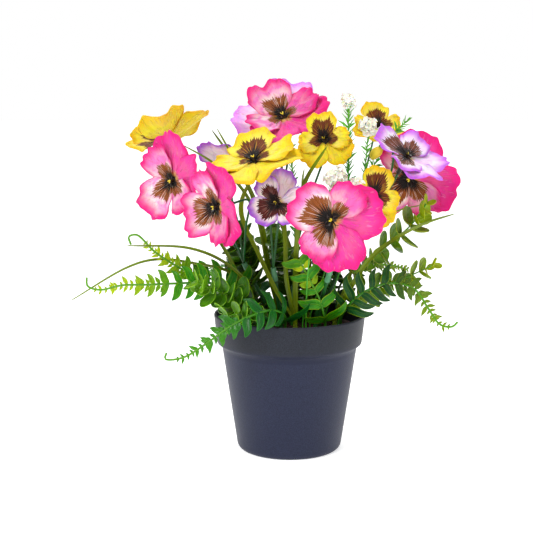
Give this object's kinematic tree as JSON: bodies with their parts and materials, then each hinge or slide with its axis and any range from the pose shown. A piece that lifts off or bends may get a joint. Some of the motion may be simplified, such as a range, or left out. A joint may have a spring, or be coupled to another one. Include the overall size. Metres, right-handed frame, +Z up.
{
  "type": "artificial potted pansy planter",
  "caption": "Artificial pansies with fern fronds, leafy sprigs, grass blades and floret sprays, standing in a filled round plastic nursery pot.",
  "frame": {"origin": "centre of the pot's flat base", "axes": "+Z up out of the pot, -Y towards the side the blooms face, +X to the right seen from that side"},
  "size_m": [0.2987, 0.2188, 0.2929],
  "materials": {
    "pot_plastic": "satin slate-blue moulded plastic with a fine grain",
    "soil_crumb": "dark brown crumbly fill",
    "stem_green": "plastic-covered wire, green, with a near-black sleeve behind each bloom",
    "fern_green": "soft moulded leaf plastic, mid green with yellow-green edges",
    "leaf_green": "soft moulded leaf plastic, deep green with lighter rims",
    "grass_olive": "olive moulded strip with a midline",
    "spray_green": "bright green moulded needles",
    "floret_white": "off-white foam florets",
    "petal_pink": "printed polyester petal, hot pink fading to white at the throat, brown rays",
    "petal_yellow": "printed polyester petal, bright yellow with brown rays",
    "petal_lilac": "printed polyester petal, white to lilac with violet edges",
    "petal_violet": "printed polyester petal, cream with magenta-violet edges and dark rays"
  },
  "bodies": {
    "root": {"pot": "pot_plastic", "soil": "soil_crumb", "pick_left": "stem_green", "pick_middle": "stem_green", "pick_front": "stem_green", "pick_right": "stem_green", "pick_rear": "stem_green", "petals_pink_left": "petal_pink", "petals_pink_low": "petal_pink", "petals_pink_front": "petal_pink", "petals_pink_top": "petal_pink", "petals_pink_right": "petal_pink", "petals_lilac_right": "petal_lilac", "petals_yellow_mid": "petal_yellow", "petals_yellow_centre": "petal_yellow", "petals_yellow_back_right": "petal_yellow", "petals_yellow_right": "petal_yellow", "petals_yellow_back_left": "petal_yellow", "petals_violet_centre": "petal_violet", "petals_violet_hidden": "petal_violet", "petals_lilac_rear": "petal_lilac", "petals_pink_top_back": "petal_lilac", "petals_bud": "petal_yellow", "grass_left": "grass_olive", "grass_middle": "grass_olive", "grass_rear": "grass_olive", "grass_right": "grass_olive", "grass_far": "grass_olive", "spray_needles": "spray_green", "spray_front": "spray_green", "spray_side": "spray_green", "spray_right": "spray_green", "spray_far": "spray_green", "spray_airy": "spray_green", "florets_needles": "floret_white", "florets_front": "floret_white", "florets_side": "floret_white", "florets_right": "floret_white", "sprig_left": "leaf_green", "sprig_low": "leaf_green", "sprig_core": "leaf_green", "sprig_inner": "leaf_green", "sprig_mid": "leaf_green", "sprig_high": "leaf_green", "sprig_right": "leaf_green", "sprig_rear": "leaf_green", "frond_curl": "fern_green", "frond_left": "fern_green", "frond_front": "fern_green", "frond_heart": "fern_green", "frond_right": "fern_green", "frond_far": "fern_green", "frond_rear_left": "fern_green", "frond_rear_right": "fern_green"}
  },
  "joints": []
}
